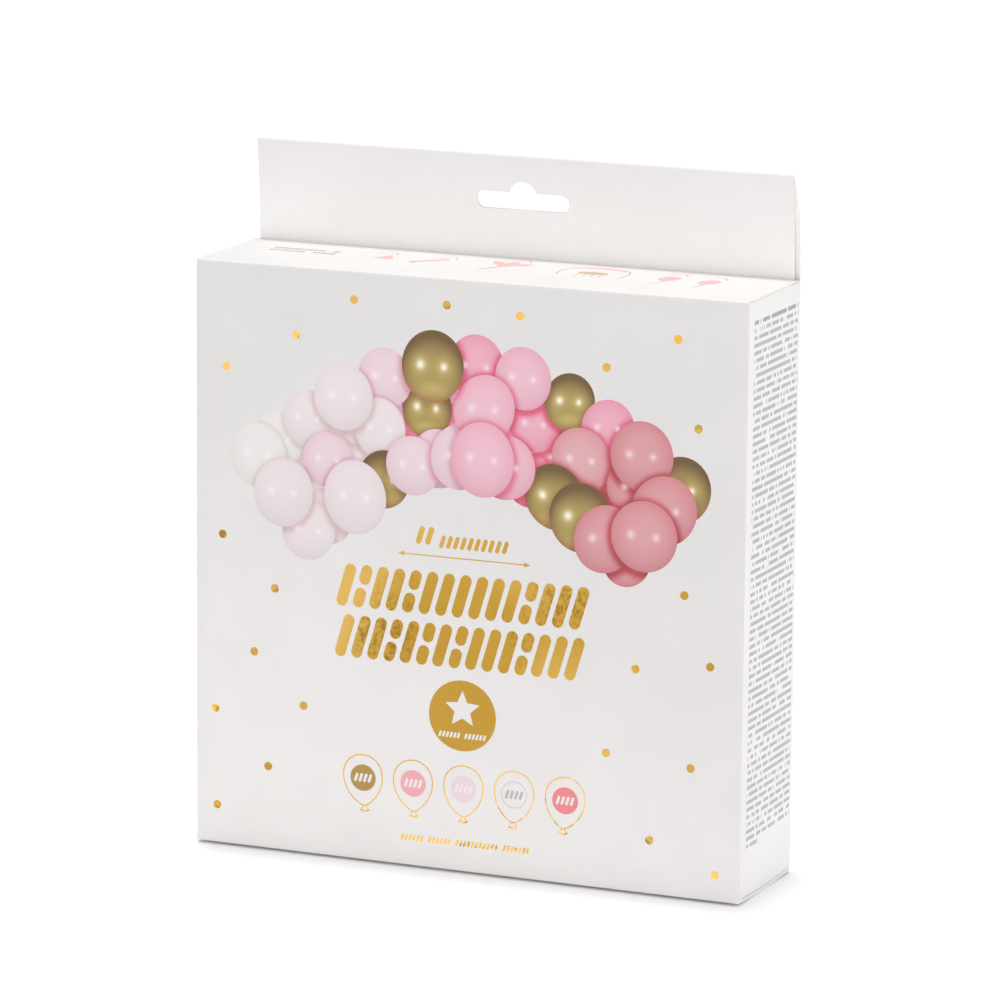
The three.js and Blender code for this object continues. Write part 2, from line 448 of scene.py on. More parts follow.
def belly(across, half_width, up, amount):
    """A panel's slack: amount times (1 - a^2)^2 (1 - b^2)^2 for a and b from -1 to 1, flat at the edges."""
    a = np.clip(across / half_width, -1, 1)
    b = np.clip(2 * up / HEIGHT - 1, -1, 1)
    return amount * (1 - a**2) ** 2 * (1 - b**2) ** 2


SAG = 0.8  # how far the bottom bulges below its front and back edges
SAG_FADE = 60.0  # height over which the walls' lower edges lose that lift


def sag(y, up):
    """Lift of the lower edges over the bulging bottom: SAG (2 y / depth)^2, fading out over SAG_FADE."""
    return SAG * (2 * y / DEPTH) ** 2 * np.clip(1 - np.maximum(up, 0) / SAG_FADE, 0, 1) ** 2


def walls(sheet, inward):
    """Fold wall points (distance round from the front's middle, height) into the upright tube, `inward` of
    its printed face."""
    round_, up = sheet.T
    wide, narrow, turn = (2 * FLAT_FRONT, 0), (FLAT_SIDE, 0), corner(CREASE)
    legs = [(FLAT_FRONT, 0), turn, narrow, turn, wide, turn, narrow, turn, wide, turn, narrow]
    point, normal = bend(round_ + LAP / 2, (0, BACK), math.pi, legs)
    slack = belly(round_, FLAT_FRONT, up, BULGE["front"])
    slack = slack + belly(round_ - LAP / 2, FLAT_FRONT, up, BULGE["front"])
    for middle in (RIGHT_MIDDLE, -RIGHT_MIDDLE):
        slack = slack + belly(round_ - middle, FLAT_SIDE / 2, up, BULGE["side"])
    lift = sag(point[:, 1], up)
    point = point + normal * (slack - inward)[:, None]
    return np.c_[point, up + lift]


def along_x(sheet, inward, start, heading, legs, outside=1):
    """Carry a folded profile along x: sheet points are (distance along the profile, x)."""
    point, normal = bend(sheet[:, 0], start, heading, legs, outside)
    return np.c_[sheet[:, 1], point - normal * inward]


print("once round the walls is %.1f mm of board" % LAP)

# %% [markdown]
# ## From a flat sheet to a piece of board
# Print could be an image laid on a plain box. Here the sheet is divided into triangles along its
# outline, its fold lines and the edges of its print, with Blender's own constrained triangulation.
# Each triangle then belongs to the last patch laid over it, just as ink printed later covers ink
# printed before. The edges of the print are therefore true edges, crisp at any distance, and yet
# nothing is raised: a patch is only a different finish on the same flat sheet. The points are placed
# twice, on the printed face and one board thickness inwards, and a cut edge joins the two layers into
# one closed body.


# %% Divide a sheet along its print
PLAIN = (1.0, 1.0, 1.0, 1.0)
Patch = namedtuple("Patch", "points finish ink ball", defaults=(PLAIN, -1))
HOLE = "hole"


def leftward(loop):
    """A closed loop with its inside on the left: turned round where its signed area is negative."""
    loop = np.asarray(loop, float)
    x, y = loop.T
    return loop if np.sum(x * np.roll(y, -1) - np.roll(x, -1) * y) > 0 else loop[::-1]


LONGEST = 6.0  # longest step along an outline or a fold line, so that long edges can curve


def stepped(start, end):
    """Evenly spaced points from start to end, both included."""
    start, end = np.asarray(start, float), np.asarray(end, float)
    return np.linspace(start, end, int(np.linalg.norm(end - start) / LONGEST) + 2)


def divide(outline, patches, lines, seeds):
    """Triangles of a flat sheet, and the number of the patch that each belongs to, 0 for the bare sheet. A
    patch may run over the sheet's edge: what lies beyond it is cut off."""
    rim = leftward(outline)
    rim = np.vstack([stepped(a, b)[:-1] for a, b in zip(rim, np.roll(rim, -1, axis=0))])
    loops = [rim] + [leftward(patch.points) for patch in patches]
    starts = np.cumsum([0] + [len(loop) for loop in loops])
    folds = [stepped(a, b) for a, b in lines]
    begins = starts[-1] + np.cumsum([0] + [len(fold) for fold in folds])
    points = np.vstack(loops + folds + [seeds])
    faces = [list(range(a, b)) for a, b in zip(starts, starts[1:])]
    edges = [(k, k + 1) for a, b in zip(begins, begins[1:]) for k in range(a, b - 1)]
    found = delaunay_2d_cdt([Vector(p) for p in points.tolist()], edges, faces, 1, 1e-4)
    triangles = np.array([list(face) for face in found[2]])
    owner = np.array([max(over) if 0 in over else -1 for over in found[5]])
    solid = np.array([True] + [patch.finish != HOLE for patch in patches])
    kept = (owner >= 0) & solid[owner]
    used, triangles = np.unique(triangles[kept], return_inverse=True)
    flat = np.array([point[:] for point in found[0]])[used]
    return flat, triangles.reshape(-1, 3), owner[kept]


def grid(low, high, spacing):
    """Evenly spaced points inside a rectangle, so that a large sheet has somewhere to bend."""
    counts = [max(2, int((b - a) / spacing)) for a, b in zip(low, high)]
    axes = [np.linspace(a, b, n + 2)[1:-1] for a, b, n in zip(low, high, counts)]
    return np.stack(np.meshgrid(*axes), -1).reshape(-1, 2)


def border(triangles):
    """The directed edges that only one triangle uses: the sheet's outline and the rims of its holes."""
    edges = np.vstack([triangles[:, [0, 1]], triangles[:, [1, 2]], triangles[:, [2, 0]]])
    size = triangles.max() + 1
    lone = ~np.isin(edges[:, 0] * size + edges[:, 1], edges[:, 1] * size + edges[:, 0])
    return edges[lone]


# %% Make a board piece
SCUFF_WIDTH = 1.6  # how far the scuffing reaches from a crease


def near_fold(flat, folds):
    """How near each point is to a crease: e to the minus (gap / SCUFF_WIDTH)^2. A fold is (axis, place)."""
    if not folds:
        return np.zeros(len(flat))
    gaps = np.min([np.abs(flat[:, axis] - at) for axis, at in folds], axis=0)
    return np.exp(-((gaps / SCUFF_WIDTH) ** 2))


def bake_map(mesh, flat, triangles, rim):
    """A UV map named OFBake: the printed face fills most of the square, and the rest lies beside it."""
    low, high = flat.min(0), flat.max(0)
    place = (flat - low) / (high - low)
    step = np.linspace(0, 1, len(rim))[:, None]
    face = 0.005 + 0.9 * place[triangles.ravel()]
    inside = np.array([0.92, 0.005]) + np.array([0.07, 0.9]) * place[triangles[:, ::-1].ravel()]
    edge = np.hstack([0.005 + 0.98 * np.repeat(step, 6, axis=1).reshape(-1, 1),
                      0.92 + 0.07 * np.tile([[0], [0], [1], [0], [1], [1]], (len(rim), 1))])
    layer = mesh.uv_layers.new(name="OFBake")
    layer.uv.foreach_set("vector", np.vstack([face, inside, edge]).astype(np.float32).ravel())


def store(mesh, name, kind, domain, field, values):
    """Write one attribute of the mesh from an array."""
    mesh.attributes.new(name, kind, domain).data.foreach_set(field, np.asarray(values, np.float32).ravel())


def fold_board(name, outline, place, patches=(), lines=(), seeds=None, folds=(), balls=None, coat="coat"):
    """Make one closed piece of board from a flat outline, its print and the function that folds it."""
    if seeds is None:
        seeds = grid(np.min(outline, 0), np.max(outline, 0), 12.0)
    flat, triangles, owner = divide(outline, patches, lines, seeds)
    count = len(flat)
    outer, inner = place(flat, 0.0), place(flat, BOARD)
    a, b, c = outer[triangles].transpose(1, 0, 2)
    if np.sum(np.cross(b - a, c - a) * (outer - inner)[triangles[:, 0]]) < 0:
        triangles = triangles[:, ::-1]
    rim = border(triangles)
    one, two = rim[:, 0], rim[:, 1]
    edge = np.stack([two, one, one + count, two, one + count, two + count], 1).reshape(-1, 3)
    faces = np.vstack([triangles, triangles[:, ::-1] + count, edge])
    mesh = bpy.data.meshes.new(name)
    mesh.from_pydata((np.vstack([outer, inner]) * MM).tolist(), [], faces.tolist())
    # Finishes: one slot for each that the piece shows
    wanted = [coat] + [patch.finish for patch in patches]
    slots = sorted(set(wanted[number] for number in np.unique(owner))) + ["inside", "edge"]
    index = np.array([slots.index(finish) if finish in slots else 0 for finish in wanted])
    for finish in slots:
        mesh.materials.append(FINISHES[finish])
    layer = np.repeat([len(slots) - 2, len(slots) - 1], [len(triangles), len(edge)])
    mesh.polygons.foreach_set("material_index", np.r_[index[owner], layer].astype(np.int32))
    mesh.polygons.foreach_set("use_smooth", np.ones(len(faces), bool))
    mesh.set_sharp_from_angle(angle=math.radians(40))
    # What the finishes read: nearness to a crease, each patch's ink and each balloon's disc coordinates
    store(mesh, "fold", "FLOAT", "POINT", "value", np.tile(near_fold(flat, folds), 2))
    blank = len(triangles) + len(edge)
    inks = np.vstack([np.array([PLAIN] + [patch.ink for patch in patches])[owner], np.ones((blank, 4))])
    store(mesh, "ink", "FLOAT_COLOR", "CORNER", "color", np.repeat(inks, 3, axis=0))
    if balls is not None:
        disc, crowd = balls(flat[triangles], np.array([-1] + [patch.ball for patch in patches])[owner])
        store(mesh, "ball", "FLOAT_VECTOR", "CORNER", "vector", np.vstack([disc, np.zeros((3 * blank, 3))]))
        store(mesh, "crowd", "FLOAT", "CORNER", "value", np.r_[crowd, np.zeros(3 * blank)])
    bake_map(mesh, flat, triangles, rim)
    mesh.validate()
    piece = bpy.data.objects.new(name, mesh)
    bpy.context.scene.collection.objects.link(piece)
    print("%s: %d triangles, %d patches" % (name, len(mesh.polygons), len(patches)))
    return piece


# %% [markdown]
# ## Shapes to print with
# A carton's print is made of few shapes: dots, strokes with round ends, thin lines along a curve and
# closed outlines. Blender's own curves could draw them, but a closed loop of points goes straight
# into the triangulation, so each shape is a short formula that returns one.


# %% Print shapes
def disc(centre, radius, sides=40):
    """A circle: the centre plus the radius times (cos a, sin a)."""
    a = np.linspace(0, 2 * np.pi, sides, endpoint=False)
    return np.asarray(centre) + np.c_[np.cos(a), np.sin(a)] * radius


def rectangle(low, high):
    """The four corners of an upright rectangle."""
    return np.array([low, (high[0], low[1]), high, (low[0], high[1])], float)


def mirrored(half, flip=(1, -1)):
    """A whole outline from one half of it: out along the half, and back along its mirror image."""
    half = np.asarray(half, float)
    return np.vstack([half, (half * flip)[::-1]])


def stroke(start, end, thickness, sides=10):
    """A straight stroke with round ends: half a circle about each end, square to the stroke."""
    start, end = np.asarray(start, float), np.asarray(end, float)
    angle = math.atan2(*(end - start)[::-1])
    a = np.linspace(-np.pi / 2, np.pi / 2, sides) + angle
    cap = np.c_[np.cos(a), np.sin(a)] * thickness / 2
    return np.vstack([end + cap, start - cap])


def ribbon(path, thickness):
    """A thin line along a curve: the path moved half the thickness to each side of its own direction."""
    path = np.asarray(path, float)
    way = np.gradient(path, axis=0)
    way /= np.linalg.norm(way, axis=1)[:, None]
    side = np.c_[-way[:, 1], way[:, 0]] * thickness / 2
    return np.vstack([path + side, (path - side)[::-1]])


def slashes(finish, middle, height, groups, tall, thick, ink=PLAIN):
    """A row of short leaning strokes in groups, one for each count, centred on a middle line."""
    pitch = 1.7 * thick
    begins = np.cumsum([0.0] + [(count + 1) * pitch for count in groups[:-1]])
    x = np.concatenate([begin + pitch * np.arange(count) for begin, count in zip(begins, groups)])
    x += middle - x[-1] / 2
    lean, rise = 0.11 * tall, (tall - thick) / 2
    strokes = [stroke((at - lean, height - rise), (at + lean, height + rise), thick) for at in x]
    return [Patch(points, finish, ink) for points in strokes]


# %% [markdown]
# ## The garland in the picture
# The picture is a loose arch of balloons. They start at random places in a strip and push each other
# apart until they are evenly spread; the strip is then laid along the arch, over a back row that
# fills the gaps. The colours drift from white through blush to rose, with a chrome balloon here and
# there. A fixed seed gives the same arch on every run. Placing sixty balloons by hand would take
# longer and leave lumps and holes.

# %% Scatter the balloons
TINTS = [linear(236, 232, 231), linear(235, 225, 227), linear(235, 213, 220), linear(237, 190, 204),
         linear(235, 174, 192), linear(224, 171, 177), linear(219, 159, 164)]
ARCH = {"left": (-67.0, 126.0), "right": (68.0, 127.0), "rise": 33.0, "spread": 15.5, "length": 168.0}
COUNT, BEHIND, CHROME_EVERY = 36, 24, 5
rng = np.random.default_rng(23)


def arch_points(t, offset):
    """Points beside the arch: a line between its ends, raised by rise sin(pi t), and moved square to it."""
    left, right = np.array(ARCH["left"]), np.array(ARCH["right"])
    middle = left + (right - left) * t[:, None] + np.c_[0 * t, ARCH["rise"] * np.sin(np.pi * t)]
    way = (right - left) + np.c_[0 * t, ARCH["rise"] * np.pi * np.cos(np.pi * t)]
    way /= np.linalg.norm(way, axis=1)[:, None]
    return middle + offset[:, None] * np.c_[-way[:, 1], way[:, 0]]


def spread_out(count, length, half, rounds=120):
    """Random places in a strip that push apart: each moves by the sum of d / |d|^3 over all the others."""
    place = np.c_[rng.uniform(0, length, count), rng.uniform(-half, half, count)]
    for _ in range(rounds):
        away = place[:, None] - place[None]
        gap = np.linalg.norm(away, axis=2) + np.eye(count)
        push = np.sum(away / gap[..., None] ** 3, axis=1) * 40
        place = np.clip(place + np.clip(push, -2, 2), (0, -half), (length, half))
    return place[:, 0] / length, place[:, 1]


front_t, front_off = spread_out(COUNT, ARCH["length"], ARCH["spread"])
back_t, back_off = spread_out(BEHIND, ARCH["length"], 6.0)
along_arch = np.r_[back_t, front_t]
middles = arch_points(along_arch, np.r_[back_off, front_off])
size = np.r_[rng.uniform(8.5, 9.5, BEHIND), np.sort(rng.uniform(8.8, 12.2, COUNT))]
radii = size[:, None] * np.c_[rng.uniform(0.93, 1.0, len(size)), rng.uniform(1.0, 1.08, len(size))]
tilts = rng.uniform(-0.6, 0.6, len(size))
shades = np.clip(along_arch * (len(TINTS) - 1) + rng.normal(0, 0.45, len(size)), 0, len(TINTS) - 1)
chrome = (np.arange(len(size)) % CHROME_EVERY == 3) & (np.arange(len(size)) >= BEHIND)
print("balloons", BEHIND, "behind and", COUNT, "in front,", int(chrome.sum()), "of them chrome")


# %% Balloon patches and their shading coordinates
def turned(vectors, angle):
    """Vectors turned by an angle, one for each row."""
    cos, sin = np.cos(angle), np.sin(angle)
    x, y = vectors[..., 0], vectors[..., 1]
    return np.stack([x * cos - y * sin, x * sin + y * cos], -1)


def balloon_patch(k):
    """An ellipse with its own tilt, painted in its own tint."""
    a = np.linspace(0, 2 * np.pi, 44, endpoint=False)
    loop = middles[k] + turned(np.c_[np.cos(a), np.sin(a)] * radii[k], tilts[k])
    return Patch(loop, "picture", TINTS[int(round(shades[k]))], k)


def on_disc(points, k):
    """Disc coordinates of points on balloon k: turned upright, divided by both radii, and turned back."""
    away = turned(points - middles[k], -tilts[k]) / radii[k]
    return turned(away, tilts[k])


def balloon_shading(corners, ball):
    """For each triangle corner: (across, up, chrome) on its own balloon, and how others crowd over it.

    The crowding is 1 minus the product, over all balloons in front, of 1 - 0.8 e^(-(g / 0.13)^2), where g
    is the gap to that balloon's rim in parts of its radius, a little below it, where its shadow falls."""
    flat, ball = corners.reshape(-1, 2), np.repeat(ball, 3)
    disc_place, clear = np.zeros((len(flat), 3)), np.ones(len(flat))
    for k in range(len(size)):
        own = ball == k
        disc_place[own, :2] = on_disc(flat[own], k)
        disc_place[own, 2] = chrome[k]
        below = (ball >= 0) & (ball < k)
        gap = np.linalg.norm(on_disc(flat[below], k) + (0, 0.06), axis=1) - 1
        clear[below] *= 1 - 0.8 * np.exp(-((np.maximum(gap, 0) / 0.13) ** 2))
    return disc_place, 1 - clear


garland = [balloon_patch(k) for k in range(len(size))]
reach = np.vstack([patch.points for patch in garland])
print("garland spans", reach.min(0).round(1), "to", reach.max(0).round(1), "mm")

# %% [markdown]
# ## The front panel's print
# Under the picture come gold foil marks: two bold rows of leaning strokes, a disc with a star, a row
# of five outlined balloons with colour spots and a fine last row. Foil could be a thin raised piece,
# but the real one is flush with the board, so it is only another finish. Foil dots are scattered over
# what is left, each tried at random and kept if it is clear of everything else.

# %% Foil rows, arrow and disc
BOLD_ROWS = [(96.3, -47.0, 45.5), (78.7, -47.5, 44.0)]  # the middle height and both ends of each row
BOLD = {"tall": 14.9, "thick": 4.1, "lean": 3.2, "gap": 1.9, "break": 1.3, "whole": 0.66}


def bold_row(height, left, right):
    """A bold row of leaning strokes, evenly spaced from left to right, some broken into equal halves."""
    tall, thick, lean = BOLD["tall"], BOLD["thick"], BOLD["lean"]
    count = int((right - left - lean) / (thick + BOLD["gap"])) + 1
    low, high = height - tall / 2 + thick / 2, height + tall / 2 - thick / 2
    patches = []
    for x in np.linspace(left + thick / 2, right - lean - thick / 2, count):
        foot, way = np.array([x, low]), np.array([lean, high - low])
        cut = (1 - (thick + BOLD["break"]) / np.linalg.norm(way)) / 2
        parts = [(0, 1)] if rng.random() < BOLD["whole"] else [(0, cut), (1 - cut, 1)]
        patches += [Patch(stroke(foot + way * a, foot + way * b, thick), "foil") for a, b in parts]
    return patches


bold_rows = [patch for row in BOLD_ROWS for patch in bold_row(*row)]
thin_rows = slashes("foil", -14.3, 116.0, (2,), 6.2, 2.0) + slashes("foil", 3.6, 114.4, (10,), 4.4, 1.5)
# The last line carries the painted glint.
last_line = slashes("foil", 0.9, 10.0, (6, 6, 11, 7), 2.3, 0.85, PAINTED_GLINT)
ARROW = {"reach": 24.3, "height": 109.2, "line": 0.42, "head": 2.4, "barb": 0.85}


def arrow_head(end):
    """A small solid triangle that points outwards at one end of the arrow."""
    tip = np.array([end * ARROW["reach"], ARROW["height"]])
    back = tip - np.array([end * ARROW["head"], 0])
    barb = (0, ARROW["barb"])
    return Patch(np.array([tip, back + barb, back - barb]), "foil")


arrow_end = ARROW["reach"] - 1
shaft = stroke((-arrow_end, ARROW["height"]), (arrow_end, ARROW["height"]), ARROW["line"])
arrow = [Patch(shaft, "foil"), arrow_head(1), arrow_head(-1)]
DISC = {"middle": (-0.2, 55.0), "radius": 12.3}


def star(centre, radius, points=5, waist=0.46):
    """A star: its radius switches between the full one and the waist at every half point."""
    a = np.pi / 2 + np.arange(2 * points) * np.pi / points
    r = np.where(np.arange(2 * points) % 2, radius * waist, radius)
    return np.asarray(centre) + np.c_[np.cos(a), np.sin(a)] * r[:, None]


# The star and strokes are knocked out to the front's ground, painted shade and all.
badge = [Patch(disc(DISC["middle"], DISC["radius"], 96), "foil"),
         Patch(star((DISC["middle"][0], DISC["middle"][1] + 2.2), 6.6), "ground")]
badge += slashes("ground", DISC["middle"][0], DISC["middle"][1] - 6.9, (6, 6), 2.1, 0.8)
print("foil patches", len(bold_rows) + len(thin_rows) + len(last_line) + len(arrow) + 1)

# %% Outlined balloons with colour spots
SPOT_INKS = [linear(178, 142, 74), linear(243, 170, 176), linear(236, 214, 221), None,
             linear(238, 136, 138)]
RING_INK = linear(186, 184, 184)  # where there is no spot ink, the spot is a thin ring
SPOT, RING = 4.7, 4.5  # radii of the spots and of the inside of the ring
ICONS = {"middle": 0.3, "spacing": 18.6, "height": 29.0, "wide": 7.4, "tall": 8.8, "line": 0.46}


def drop(centre, wide, tall, tilt, sides=72):
    """A balloon's outline: x = wide cos a (1 + 0.13 sin a), y = tall sin a, drawn down to a nib at the
    bottom by 0.1 tall times e^(-((a + pi / 2) / 0.42)^2)."""
    a = np.linspace(-np.pi / 2, 1.5 * np.pi, sides, endpoint=False)
    from_foot = np.minimum(a + np.pi / 2, 1.5 * np.pi - a)
    nib = 0.1 * tall * np.exp(-((from_foot / 0.42) ** 2))
    loop = np.c_[wide * np.cos(a) * (1 + 0.13 * np.sin(a)), tall * np.sin(a) - nib]
    return np.asarray(centre) + turned(loop, tilt)


def knot(foot, neck, wide, tall, tilt):
    """A balloon's knot: a bell of half-width neck + (wide - neck) s^2 at depth s tall, with a bowed hem."""
    s, t = np.linspace(0, 1, 7), np.linspace(1, -1, 9)[1:-1]
    side = np.c_[neck + (wide - neck) * s**2, -tall * s]
    hem = np.c_[wide * t, -tall - 0.3 * tall * (1 - t**2)]
    return foot + turned(np.vstack([side, hem, (side * (-1, 1))[::-1]]), tilt)


def icon(place, ink):
    """A foil outline, its knot, and a spot of ink with a few short strokes knocked out of it."""
    tilt = -0.03 * place
    centre = np.array([ICONS["middle"] + place * ICONS["spacing"], ICONS["height"]])
    line = ICONS["line"]
    foot = centre + turned(np.array([0, -1.1 * ICONS["tall"] + line]), tilt)
    # The outline and knot carry the painted glint; their insides and the spot's strokes are the front's
    # ground, with its painted shade.
    patches = [Patch(knot(foot, 0.7, 1.9, 1.9, tilt), "foil", PAINTED_GLINT),
               Patch(knot(foot, 0.24, 1.1, 1.5, tilt), "ground"),
               Patch(drop(centre, ICONS["wide"], ICONS["tall"], tilt), "foil", PAINTED_GLINT),
               Patch(drop(centre, ICONS["wide"] - line, ICONS["tall"] - line, tilt), "ground")]
    spot = centre + (0, 0.4)
    strokes = (*spot, (4,), 3.1, 1.0)
    if ink is None:
        patches += [Patch(disc(spot, SPOT), "ink", RING_INK), Patch(disc(spot, RING), "ground")]
        return patches + slashes("ink", *strokes, RING_INK)
    return patches + [Patch(disc(spot, SPOT), "ink", ink)] + slashes("ground", *strokes)


icons = [patch for place, ink in zip(range(-2, 3), SPOT_INKS) for patch in icon(place, ink)]
print("icon patches", len(icons))

# %% Scattered foil dots
DOT_RADIUS, DOT_COUNT, DOT_TRIES = 1.5, 22, 4000
DOT_HALF, DOT_FOOT, DOT_HEAD = 93.0, 8.0, 9.0  # half the dotted width, and what is left below and above
DOT_MARGIN, DOT_SPACING = 8.5, 24.0  # how far a dot keeps from other print and from other dots
PRINT_HALF, PRINT_TOP = 47.0, 118.0  # the block of foil rows, which stays free of dots


def scatter_dots(taken):
    """Random dots on the front panel, each clear of all print and, more widely, of the other dots."""
    dots = []
    for _ in range(DOT_TRIES):
        place = np.array([rng.uniform(-DOT_HALF, DOT_HALF), rng.uniform(DOT_FOOT, HEIGHT - DOT_HEAD)])
        clear = np.min(np.linalg.norm(taken - place, axis=1)) > DOT_MARGIN
        inside = abs(place[0]) < PRINT_HALF and place[1] < PRINT_TOP
        apart = min((np.linalg.norm(place - dot) for dot in dots), default=99) > DOT_SPACING
        if clear and apart and not inside and len(dots) < DOT_COUNT:
            dots.append(place)
    return dots


front_print = garland + bold_rows + thin_rows + last_line + arrow + badge + icons
taken = np.vstack([patch.points for patch in front_print] + [middles])
# Every third dot carries the painted glint.
dots = [Patch(disc(place, DOT_RADIUS, 24), "foil", PLAIN if k % 3 else PAINTED_GLINT)
        for k, place in enumerate(scatter_dots(taken))]
print("foil dots", len(dots))

# %% [markdown]
# ## The front panel
# The front panel could end at its creases, but a join along a crease would show. So it takes in both
# upright creases, and its joins with the side panels fall on flat board. Fold lines run down each
# crease to let the sheet turn there, and a finer grid of points under the picture gives the soft
# shadows between balloons something to vary over.

# %% Fold the front panel
LAP_OVER = 1.0  # how far a panel runs on past a crease before the next one begins
LID_LAP = 2.5  # how far the lid's crease strip runs down the front wall and back over the lid
FOOT = 2.0  # how far the bottom's creases run up the walls
ARC_STEPS = np.linspace(0, ARC, 7)


def fold_lines(positions, low, high):
    """Fold lines across a sheet at these distances along it, from its low edge to its high one."""
    return [((at, low), (at, high)) for at in positions]


def panel_between_creases(middle, top, foot):
    """A wide panel's outline with a crease at each side, cut back where the lid or bottom folds away."""
    wide = FLAT_FRONT + ARC + LAP_OVER
    half = [(FLAT_FRONT, foot), (FLAT_FRONT, BOARD), (wide, BOARD), (wide, WALL_TOP),
            (FLAT_FRONT, WALL_TOP), (FLAT_FRONT, top)]
    return mirrored(half, (-1, 1)) + (middle, 0)


picture_grid = grid(reach.min(0), reach.max(0), 1.0)
front_outline = panel_between_creases(0.0, HEIGHT - LID_LAP, FOOT)
front_folds = [sign * (FLAT_FRONT + step) for sign in (1, -1) for step in ARC_STEPS]
# The ground runs round both upright creases, so its painted shade also tones down their bright line.
printed = FLAT_FRONT + ARC
ground = Patch(rectangle((-printed, 0), (printed, HEIGHT)), "ground")
front_grid = grid((-FLAT_FRONT, FOOT), (FLAT_FRONT, HEIGHT - LID_LAP), 9.0)
front_panel = fold_board(
    "front_panel", front_outline, walls, [ground] + front_print + dots,
    lines=fold_lines(front_folds, BOARD, WALL_TOP), seeds=np.vstack([picture_grid, front_grid]),
    folds=[(0, FLAT_FRONT + ARC / 2), (0, -FLAT_FRONT - ARC / 2), (1, 0.0), (1, HEIGHT)],
    balls=balloon_shading)

# %% [markdown]
# ## The side panels
# The right panel is covered in fine print, and the left one has a short block of it. At this size it
# is only texture: rows of equal slanted ticks, set in a justified block. A noise texture could hint
# at it, but patches stay crisp. The upper and lower edges dip beside the dust flaps, where the board
# is cut.

# %% Fine print
TEXT_GREY, TEXT_DARK = linear(70, 66, 64), linear(60, 56, 54)
RIGHT_TEXT = {"left": -18.4, "right": 22.0, "top": 195.2, "pitch": 2.53, "rows": 71, "tall": 1.15}
LEFT_TEXT = dict(RIGHT_TEXT, left=-18.0, right=18.0, top=150.0, rows=22)
BACK_TEXT = {"top": 168.0, "pitch": 3.4, "rows": 12, "tall": 1.35}
GAPS = 0.11  # how often a pair of ticks is left out


def text_row(left, right, level, tall, ink, bold=0.5):
    """One row of fine print: equal slanted ticks, evenly spaced, with pairs left out here and there. `bold`
    is how much of each step a tick fills."""
    step, lean = 0.58 * tall, 0.2 * tall
    x = np.linspace(left, right - bold * step, int((right - left) / step))
    gap = rng.random(len(x)) < GAPS
    x = x[~(gap | np.roll(gap, 1))]
    low, top = np.full(len(x), level), np.full(len(x), level + 1.1 * tall)
    corners = [(x, low), (x + bold * step, low), (x + bold * step + lean, top), (x + lean, top)]
    return [Patch(loop, "ink", ink) for loop in np.transpose(corners, (2, 0, 1))]


def text_block(middle, left, right, top, pitch, rows, tall):
    """Rows of fine print about a panel's middle, the first one bolder and the last one cut short."""
    left, right = middle + left, middle + right
    patches = text_row(left, right, top, 1.1 * tall, TEXT_DARK, 0.62)
    for row in range(1, rows - 1):
        patches += text_row(left, right, top - row * pitch, tall, TEXT_GREY)
    short = left + 0.25 * (right - left)
    return patches + text_row(left, short, top - (rows - 1) * pitch, tall, TEXT_GREY)


# %% Fold the side panels
DUST = {"front": 6.0, "back": 11.0, "reach": 46.0, "taper": 5.0, "corner": 6.0}
FLAP_INSET = 2.0  # how far the bottom's end flaps are narrower than the side panels


def side_outline(middle, sign):
    """A side panel's outline, its ends cut low beside the dust flaps. `sign` -1 swaps front and back."""
    half = FLAT_SIDE / 2 - LAP_OVER
    root = sorted(sign * np.array([DUST["front"] - DEPTH / 2, DEPTH / 2 - DUST["back"]]))
    top, cut, low = WALL_TOP - FOOT, WALL_TOP - NOTCH, WALL_FOOT + FOOT
    inset = half - FLAP_INSET
    points = [(-half, WALL_FOOT), (-inset, WALL_FOOT), (-inset, low), (inset, low), (inset, WALL_FOOT),
              (half, WALL_FOOT), (half, cut), (root[1], cut), (root[1], top), (root[0], top),
              (root[0], cut), (-half, cut)]
    return np.array(points) + (middle, 0)


def side_panel(name, middle, sign, patches):
    """Fold one side panel, with creases along its two upright edges and at its top and foot."""
    edge = FLAT_SIDE / 2 + ARC / 2
    folds = [(0, middle + edge), (0, middle - edge), (1, BOARD), (1, WALL_TOP)]
    return fold_board(name, side_outline(middle, sign), walls, patches, folds=folds)


right_text = text_block(RIGHT_MIDDLE, **RIGHT_TEXT)
left_text = text_block(-RIGHT_MIDDLE, **LEFT_TEXT)
right_panel = side_panel("right_panel", RIGHT_MIDDLE, 1, right_text)
left_panel = side_panel("left_panel", -RIGHT_MIDDLE, -1, left_text)

# %% [markdown]
# ## The back panel and the hang tab
# The back panel runs on above the lid as the tab, turns over at the top and comes down in front as a
# second ply, which is cut a little narrower. Standing free, the tab curls forward. The slot is cut
# through both plies, so the flat sheet carries it twice, the second time upside down. Two plates
# would be simpler, but one sheet that turns over has the real round fold along its top.

# %% The tab's path and slot
TAB_TURN = corner(BOARD + 0.05, math.pi)  # the fold at the top, a hair wider than the board is thick
TAB_LEGS = [(1.0, 0.045), (TAB_RISE - 1.0, 0.085), TAB_TURN, (TAB_RISE + 1, -0.122)]
TAB_FOLD = HEIGHT + TAB_RISE
TAB_OVER = TAB_FOLD + TAB_TURN[0]  # where the front ply begins
TAB_END = TAB_OVER + TAB_RISE + 0.35
TAB_LEFT, TAB_RIGHT = SIDE - 1.2, SIDE - 0.4  # half-widths of the back ply
PLY_LEFT, PLY_RIGHT = SIDE - 1.3, SIDE - 2.0  # and of the front ply, which is folded a little to the left
TAPER = 16.0  # how far below the fold the back ply starts to curve in
SLOT = {"width": 34.0, "height": 6.0, "above": 19.8, "hump_width": 10.0, "hump_rise": 3.8}
BACK_MIDDLE = LAP / 2


